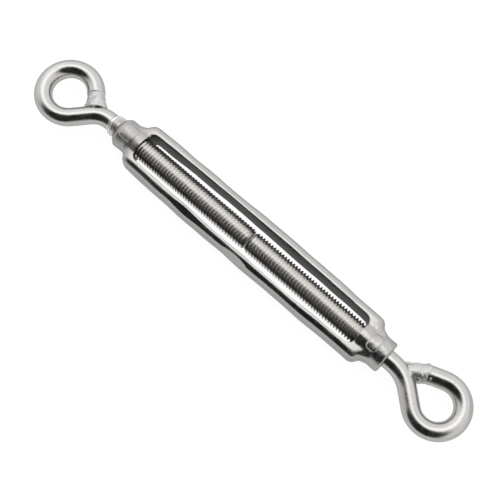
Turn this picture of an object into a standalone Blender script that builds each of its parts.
"""Rigging turnbuckle: an open frame with a threaded hub at each end, and an eye bolt in each hub.

X runs along the thread axis, with the right-hand thread at its positive end. The frame lies in the
XY plane, and the origin is the frame's centre, on the thread axis. Everything is in metres.
"""

from math import acos, cos, pi, radians, sin, tan

import bmesh
import bpy
from mathutils import Matrix

# Thread
PITCH = 0.0015
CREST_R = 0.00495
ROOT_R = 0.00427
TAP_CLEARANCE = 0.0003
THREAD_STEPS = 12
RUNOUT = 0.0016

# Frame
FRAME_HALF_LENGTH = 0.0756
FRAME_THICKNESS = 0.0108
SLOT_HALF_LENGTH = 0.0610
SLOT_HALF_WIDTH = 0.0070
SLOT_BOW = 0.0009
SLOT_CORNER_R = 0.0030
RAIL_HALF_WIDTH = 0.01105
RAIL_BOW = 0.00055
RAIL_ROUNDING = 0.0032
RIGHT_SHOULDER_END_X = 0.0696
LEFT_SHOULDER_END_X = 0.0674
SHOULDER_FILLET_R = 0.0032
SHOULDER_CORNER_R = 0.0037
PLATE_END_REACH = 0.0036
PLATE_END_Y = 0.0040

# Hubs
HUB_R = 0.00715
HUB_INNER_X = 0.0580
RIGHT_HUB_ROUND_R = 0.0010
LEFT_HUB_END_X = 0.0743
LEFT_HUB_CONE_LENGTH = 0.0018
LEFT_HUB_RIM_R = 0.0056
PAD_HEIGHT = 0.00035
PAD_WIDTH = 0.0070
RIGHT_PAD_LENGTH = 0.0044
LEFT_PAD_LENGTH = 0.0064
PAD_CORNER_R = 0.0012
PAD_TOP_STEPS = 64

# Eye bolts
ROD_R = 0.0040
ROD_OVERLAP = 0.0040
GAP = 0.0003
TIP_LENGTH = 0.0015
TIP_R = 0.0040
TIP_CHAMFER = 0.0008
TIP_MEETING_X = 0.0011
TIP_HALF_GAP = 0.0004

# Each side: its sense along X, then its sizes as if it lay on the positive side. The ring runs on
# into a straight and a tail that bends in towards the shank, and the weld widens along its length.
SIDES = {
    "right_hand": {
        "sign": 1,
        "thread_end": 0.0740,
        "eye_x": 0.10265,
        "eye_y": -0.0014,
        "eye_r": 0.0106,
        "bend_angle": radians(40.5),
        "bend_r": 0.0170,
        "return_angle": radians(20),
        "return_length": 0.0060,
        "tail_angle": radians(19),
        "tail_r": 0.0095,
        "weld": [(0.0, 0.0039), (0.0024, 0.0038), (0.0048, 0.0037), (0.0070, 0.0036)],
    },
    "left_hand": {
        "sign": -1,
        "thread_end": 0.0795,
        "eye_x": 0.1032,
        "eye_y": -0.0023,
        "eye_r": 0.01155,
        "bend_angle": radians(48),
        "bend_r": 0.0110,
        "return_angle": radians(38),
        "return_length": 0.0008,
        "tail_angle": radians(11),
        "tail_r": 0.0114,
        "weld": [(0.0, 0.0037), (0.0020, 0.0038), (0.0042, 0.0044), (0.0070, 0.0052)],
    },
}
WELD_HEIGHT_RATIO = 0.80
WELD_INSET = 0.0006
WELD_STEPS = 20

ARC_STEP = radians(12)
SLOT_ARC_STEP = radians(18)
EDGE_ARC_STEP = radians(30)
TURNED_STEPS = 32
TUBE_RESOLUTION = 4
RIM_SEGMENTS = 4
SHARP_ANGLE = radians(40)
MERGE = 1e-6


def empty_scene():
    for obj in list(bpy.data.objects):
        bpy.data.objects.remove(obj, do_unlink=True)


def new_collection(name):
    collection = bpy.data.collections.new(name)
    bpy.context.scene.collection.children.link(collection)
    return collection


def steel(name, shade, roughness):
    material = bpy.data.materials.new(name)
    material.use_nodes = True
    shader = material.node_tree.nodes["Principled BSDF"]
    shader.inputs["Base Color"].default_value = (shade, shade * 0.98, shade * 0.95, 1)
    shader.inputs["Metallic"].default_value = 1.0
    shader.inputs["Roughness"].default_value = roughness
    return material


def add_object(name, data, collection):
    obj = bpy.data.objects.new(name, data)
    collection.objects.link(obj)
    return obj


def to_mesh_object(obj):
    """Replaces an object by one that holds its evaluated mesh, welded."""
    bpy.context.view_layer.update()
    evaluated = obj.evaluated_get(bpy.context.evaluated_depsgraph_get())
    mesh = bpy.data.meshes.new_from_object(evaluated)
    shape = bmesh.new()
    shape.from_mesh(mesh)
    bmesh.ops.remove_doubles(shape, verts=shape.verts, dist=MERGE)
    bmesh.ops.recalc_face_normals(shape, faces=shape.faces)
    shape.to_mesh(mesh)
    shape.free()
    name, matrix, collection = obj.name, obj.matrix_world.copy(), obj.users_collection[0]
    bpy.data.objects.remove(obj, do_unlink=True)
    solid = add_object(name, mesh, collection)
    solid.matrix_world = matrix
    return solid


def turned(name, profile, collection, steps=TURNED_STEPS):
    """A solid of revolution about X, from (x, radius) points that run from high x to low x."""
    mesh = bpy.data.meshes.new(name)
    points = [(x, radius, 0) for x, radius in profile]
    mesh.from_pydata(points, [(i, i + 1) for i in range(len(points) - 1)], [])
    obj = add_object(name, mesh, collection)
    screw = obj.modifiers.new("turn", "SCREW")
    screw.axis = "X"
    screw.steps = screw.render_steps = steps
    screw.use_merge_vertices = True
    screw.merge_threshold = MERGE
    return to_mesh_object(obj)


def arc(centre, radius, start, end, step=ARC_STEP):
    """Points on an arc, both ends included, with angles counted from +X towards +Y."""
    count = max(1, round(abs(end - start) / step))
    angles = [start + (end - start) * i / count for i in range(count + 1)]
    return [(centre[0] + radius * cos(a), centre[1] + radius * sin(a)) for a in angles]


def plate(name, outline, half_thickness, collection):
    """A flat closed outline in the XY plane, extruded both ways along Z."""
    curve = bpy.data.curves.new(name, "CURVE")
    curve.dimensions = "2D"
    curve.fill_mode = "BOTH"
    curve.extrude = half_thickness
    spline = curve.splines.new("POLY")
    spline.points.add(len(outline) - 1)
    for point, (x, y) in zip(spline.points, outline):
        point.co = (x, y, 0, 1)
    spline.use_cyclic_u = True
    return to_mesh_object(add_object(name, curve, collection))


def tube(name, route, radius, collection):
    """A round rod along points in the XY plane."""
    curve = bpy.data.curves.new(name, "CURVE")
    curve.dimensions = "3D"
    curve.bevel_depth = radius
    curve.bevel_resolution = TUBE_RESOLUTION
    curve.use_fill_caps = True
    spline = curve.splines.new("POLY")
    spline.points.add(len(route) - 1)
    for point, (x, y) in zip(spline.points, route):
        point.co = (x, y, 0, 1)
    return to_mesh_object(add_object(name, curve, collection))


def helix(name, start, turns, growth, collection):
    """A right-hand thread about X: one pitch of profile on a Screw, closed by a fan at each end."""
    root, crest = ROOT_R + growth, CREST_R + growth
    mesh = bpy.data.meshes.new(name)
    profile = [(start, root, 0), (start + PITCH / 2, crest, 0), (start + PITCH, root, 0)]
    mesh.from_pydata(profile, [(0, 1), (1, 2)], [])
    obj = add_object(name, mesh, collection)
    screw = obj.modifiers.new("thread", "SCREW")
    screw.axis = "X"
    screw.screw_offset = PITCH
    screw.iterations = turns
    screw.steps = screw.render_steps = THREAD_STEPS
    screw.use_merge_vertices = False
    screw.merge_threshold = MERGE
    solid = to_mesh_object(obj)
    shape = bmesh.new()
    shape.from_mesh(solid.data)
    middle = start + PITCH * (turns + 1) / 2
    for is_end in (lambda x: x < middle, lambda x: x > middle):
        rim = [edge for edge in shape.edges if edge.is_boundary and is_end(edge.verts[0].co.x)]
        reach = [vert.co.x for edge in rim for vert in edge.verts]
        apex = shape.verts.new((sum(reach) / len(reach), 0, 0))
        for edge in rim:
            shape.faces.new((*edge.verts, apex))
    bmesh.ops.recalc_face_normals(shape, faces=shape.faces)
    shape.to_mesh(solid.data)
    shape.free()
    return solid


def mirror_to_negative_x(obj):
    shape = bmesh.new()
    shape.from_mesh(obj.data)
    bmesh.ops.transform(shape, matrix=Matrix.Scale(-1, 4, (1, 0, 0)), verts=shape.verts)
    bmesh.ops.reverse_faces(shape, faces=shape.faces)
    shape.to_mesh(obj.data)
    shape.free()


def boolean(obj, operation, other):
    modifier = obj.modifiers.new(other.name, "BOOLEAN")
    modifier.operation = operation
    modifier.solver = "EXACT"
    modifier.object = other


def shade_smooth(collection):
    for obj in collection.objects:
        obj.data.shade_smooth()
        obj.data.set_sharp_from_angle(angle=SHARP_ANGLE)


def as_cutters(collection):
    for obj in collection.objects:
        obj.hide_render = True
        obj.display_type = "WIRE"


def bowed(half_width, bow, x):
    """A rail face's distance from the axis: greatest at mid-length, by bow."""
    return half_width + bow * max(0.0, 1 - (x / SLOT_HALF_LENGTH) ** 2)


def rail_stations(end_x, half_width, bow):
    """Points along a bowed rail face, from end_x towards its middle."""
    return [(end_x * k / 4, bowed(half_width, bow, end_x * k / 4)) for k in (3, 2, 1)]


def mirrored(points):
    """The same points on the other side of the YZ plane, in the opposite order."""
    return [(-x, y) for x, y in reversed(points)]


def shoulder(end_x):
    """From inside the hub to the rail: a slanted end, a concave fillet, then a convex corner."""
    rise = RAIL_HALF_WIDTH - HUB_R
    radii = SHOULDER_FILLET_R + SHOULDER_CORNER_R
    slope = acos(1 - rise / radii)
    fillet_centre = (end_x, HUB_R + SHOULDER_FILLET_R)
    corner_centre = (end_x - radii * sin(slope), RAIL_HALF_WIDTH - SHOULDER_CORNER_R)
    fillet = arc(fillet_centre, SHOULDER_FILLET_R, -pi / 2, -pi / 2 - slope)
    corner = arc(corner_centre, SHOULDER_CORNER_R, pi / 2 - slope, pi / 2)
    return [(end_x + PLATE_END_REACH, PLATE_END_Y)] + fillet + corner


def frame_outline():
    """The whole plate, counter-clockwise: shoulders joined by rails that bow outwards."""
    right, left = shoulder(RIGHT_SHOULDER_END_X), shoulder(LEFT_SHOULDER_END_X)
    rail = rail_stations(right[-1][0], RAIL_HALF_WIDTH, RAIL_BOW)
    stations = rail + [(0.0, RAIL_HALF_WIDTH + RAIL_BOW)] + mirrored(rail)
    half = right + stations + mirrored(left)
    return half + [(x, -y) for x, y in reversed(half)]


def slot_outline():
    corner_centre = (SLOT_HALF_LENGTH - SLOT_CORNER_R, SLOT_HALF_WIDTH - SLOT_CORNER_R)
    corner = arc(corner_centre, SLOT_CORNER_R, 0, pi / 2, SLOT_ARC_STEP)
    quarter = corner + rail_stations(corner_centre[0], SLOT_HALF_WIDTH, SLOT_BOW)
    half = quarter + mirrored(quarter)
    return half + [(-x, -y) for x, y in half]


def is_cap(face):
    return abs(face.normal.z) > 0.99


def round_outer_edges(obj):
    """Rounds a plate's upper and lower rims, which makes each rail's section a D."""
    shape = bmesh.new()
    shape.from_mesh(obj.data)
    capped = {edge: [is_cap(face) for face in edge.link_faces] for edge in shape.edges}
    bmesh.ops.dissolve_edges(shape, edges=[edge for edge, sides in capped.items() if all(sides)])
    rims = [edge for edge in shape.edges if any(is_cap(face) for face in edge.link_faces)]
    bmesh.ops.bevel(
        shape,
        geom=rims,
        offset=RAIL_ROUNDING,
        segments=RIM_SEGMENTS,
        profile=0.5,
        affect="EDGES",
    )
    bmesh.ops.remove_doubles(shape, verts=shape.verts, dist=MERGE)
    shape.to_mesh(obj.data)
    shape.free()


def right_hub(collection):
    """A hub with a rounded outer edge and a flat face."""
    centre = (FRAME_HALF_LENGTH - RIGHT_HUB_ROUND_R, HUB_R - RIGHT_HUB_ROUND_R)
    edge = arc(centre, RIGHT_HUB_ROUND_R, 0, pi / 2, EDGE_ARC_STEP)
    profile = [(FRAME_HALF_LENGTH, 0)] + edge + [(HUB_INNER_X, HUB_R), (HUB_INNER_X, 0)]
    return turned("right_hub", profile, collection)


def left_hub(collection):
    """A hub whose outer end is a cone down to a narrow rim."""
    profile = [
        (LEFT_HUB_END_X, 0),
        (LEFT_HUB_END_X, LEFT_HUB_RIM_R),
        (LEFT_HUB_END_X - LEFT_HUB_CONE_LENGTH, HUB_R),
        (HUB_INNER_X, HUB_R),
        (HUB_INNER_X, 0),
    ]
    hub = turned("left_hub", profile, collection)
    mirror_to_negative_x(hub)
    return hub


def hub_pad(name, centre_x, length, collection):
    """A blank raised pad on top of a hub: an upright prism kept only just above the hub's surface."""
    half_x, half_y = length / 2 - PAD_CORNER_R, PAD_WIDTH / 2 - PAD_CORNER_R
    corners = [(half_x, half_y, 0), (-half_x, half_y, 1), (-half_x, -half_y, 2), (half_x, -half_y, 3)]
    outline = []
    for x, y, quarter in corners:
        start = quarter * pi / 2
        outline += arc((centre_x + x, y), PAD_CORNER_R, start, start + pi / 2, EDGE_ARC_STEP)
    pad = plate(name, outline, HUB_R / 2, collection)
    pad.data.transform(Matrix.Translation((0, 0, HUB_R)))
    top = HUB_R + PAD_HEIGHT
    low_x, high_x = centre_x - length, centre_x + length
    profile = [(high_x, 0), (high_x, top), (low_x, top), (low_x, 0)]
    sleeve = turned(name + "_top", profile, collection, PAD_TOP_STEPS)
    boolean(pad, "INTERSECT", sleeve)
    return pad


def build_frame(parts, cutters, finish):
    frame = plate("frame", frame_outline(), FRAME_THICKNESS / 2, parts)
    round_outer_edges(frame)
    pad_x = (FRAME_HALF_LENGTH + SLOT_HALF_LENGTH) / 2
    for solid in (
        right_hub(cutters),
        left_hub(cutters),
        hub_pad("right_pad", pad_x, RIGHT_PAD_LENGTH, cutters),
        hub_pad("left_pad", -pad_x, LEFT_PAD_LENGTH, cutters),
    ):
        boolean(frame, "UNION", solid)
    boolean(frame, "DIFFERENCE", plate("slot", slot_outline(), 2 * HUB_R, cutters))
    start = PITCH * round((HUB_INNER_X - 2 * PITCH) / PITCH)
    turns = round((FRAME_HALF_LENGTH - start) / PITCH) + 2
    for name, side in SIDES.items():
        tap = helix(name + "_tap", start, turns, TAP_CLEARANCE, cutters)
        if side["sign"] < 0:
            mirror_to_negative_x(tap)
        boolean(frame, "DIFFERENCE", tap)
    frame.data.materials.append(finish)
    return frame


def tip_x(side):
    """Where a rod's inner end is, counted as if on the positive side."""
    return side["sign"] * TIP_MEETING_X + TIP_HALF_GAP


def eye_route(side, extension=0.0):
    """The rod's centreline: shank, S-bend, ring, a straight and a tail, then any extension."""
    bend, back, ring = side["bend_angle"], side["return_angle"], side["eye_r"]
    centre = (side["eye_x"], side["eye_y"])
    crossing = centre[0] - (ring - centre[1] * cos(bend)) / sin(bend)
    bend_x = crossing - side["bend_r"] * tan(bend / 2)
    shank_start = side["thread_end"] - ROD_OVERLAP
    s_bend = arc((bend_x, -side["bend_r"]), side["bend_r"], pi / 2, pi / 2 - bend)
    around = arc(centre, ring, -pi / 2 - bend, pi / 2 + back)
    straight_end = along(around[-1], back, side["return_length"])
    tail_r, last = side["tail_r"], back + side["tail_angle"]
    tail_centre = (straight_end[0] + tail_r * sin(back), straight_end[1] - tail_r * cos(back))
    tail = arc(tail_centre, tail_r, pi / 2 + back, pi / 2 + last)
    if extension:
        tail[-1] = along(tail[-1], last, extension)
    return [(shank_start, 0.0)] + s_bend + around + tail


def along(point, angle, distance):
    """A point further on, heading back towards the shank at an angle to the thread axis."""
    return (point[0] - distance * cos(angle), point[1] - distance * sin(angle))


def build_eye_bolt(name, side, parts, cutters, finish):
    inner, outer = tip_x(side) + TIP_LENGTH + GAP, side["thread_end"]
    start = PITCH * (int(inner / PITCH) - 2)
    turns = round((outer - start) / PITCH) + 2
    bolt = helix(name + "_eye_bolt", start, turns, 0.0, parts)
    wide = CREST_R + GAP
    profile = [
        (outer, 0),
        (outer, wide - RUNOUT),
        (outer - RUNOUT, wide),
        (inner + TIP_CHAMFER, wide),
        (inner, wide - TIP_CHAMFER),
        (inner, 0),
    ]
    ends = turned(name + "_thread_ends", profile, cutters)
    rod = tube(name + "_eye_rod", eye_route(side), ROD_R, cutters)
    if side["sign"] < 0:
        for obj in (bolt, ends, rod):
            mirror_to_negative_x(obj)
    boolean(bolt, "INTERSECT", ends)
    boolean(bolt, "UNION", rod)
    bolt.data.materials.append(finish)
    return bolt


def build_rod_tip(name, side, parts, finish):
    inner = tip_x(side)
    profile = [
        (inner + TIP_LENGTH, 0),
        (inner + TIP_LENGTH, TIP_R),
        (inner + TIP_CHAMFER, TIP_R),
        (inner, TIP_R - TIP_CHAMFER),
        (inner, 0),
    ]
    tip = turned(name + "_rod_tip", profile, parts)
    if side["sign"] < 0:
        mirror_to_negative_x(tip)
    tip.data.materials.append(finish)
    return tip


def build_weld_bead(name, side, parts, cutters, finish):
    """The weld that closes the ring: it fills the space between the rod's end and the S-bend."""
    end = eye_route(side)[-1]
    heading = side["return_angle"] + side["tail_angle"]
    sizes = [(x, radius) for x, radius in reversed(side["weld"])]
    profile = [(sizes[0][0], 0)] + sizes + [(-WELD_INSET, sizes[-1][1]), (-WELD_INSET, 0)]
    bead = turned(name + "_weld_bead", profile, parts, WELD_STEPS)
    flatten = Matrix.Diagonal((1, 1, WELD_HEIGHT_RATIO, 1))
    place = Matrix.Translation((*end, 0)) @ Matrix.Rotation(pi + heading, 4, "Z")
    bead.data.transform(place @ flatten)
    relief = tube(name + "_weld_relief", eye_route(side, GAP), ROD_R + GAP, cutters)
    if side["sign"] < 0:
        for obj in (bead, relief):
            mirror_to_negative_x(obj)
    boolean(bead, "DIFFERENCE", relief)
    bead.data.materials.append(finish)
    return bead


def main():
    empty_scene()
    parts = new_collection("turnbuckle")
    cutters = new_collection("cutters")
    cast = steel("cast_stainless_steel", 0.66, 0.34)
    drawn = steel("drawn_stainless_steel", 0.70, 0.26)
    weld = steel("weld_metal", 0.62, 0.42)
    build_frame(parts, cutters, cast)
    for name, side in SIDES.items():
        build_eye_bolt(name, side, parts, cutters, drawn)
        build_rod_tip(name, side, parts, drawn)
        build_weld_bead(name, side, parts, cutters, weld)
    shade_smooth(parts)
    shade_smooth(cutters)
    as_cutters(cutters)


main()
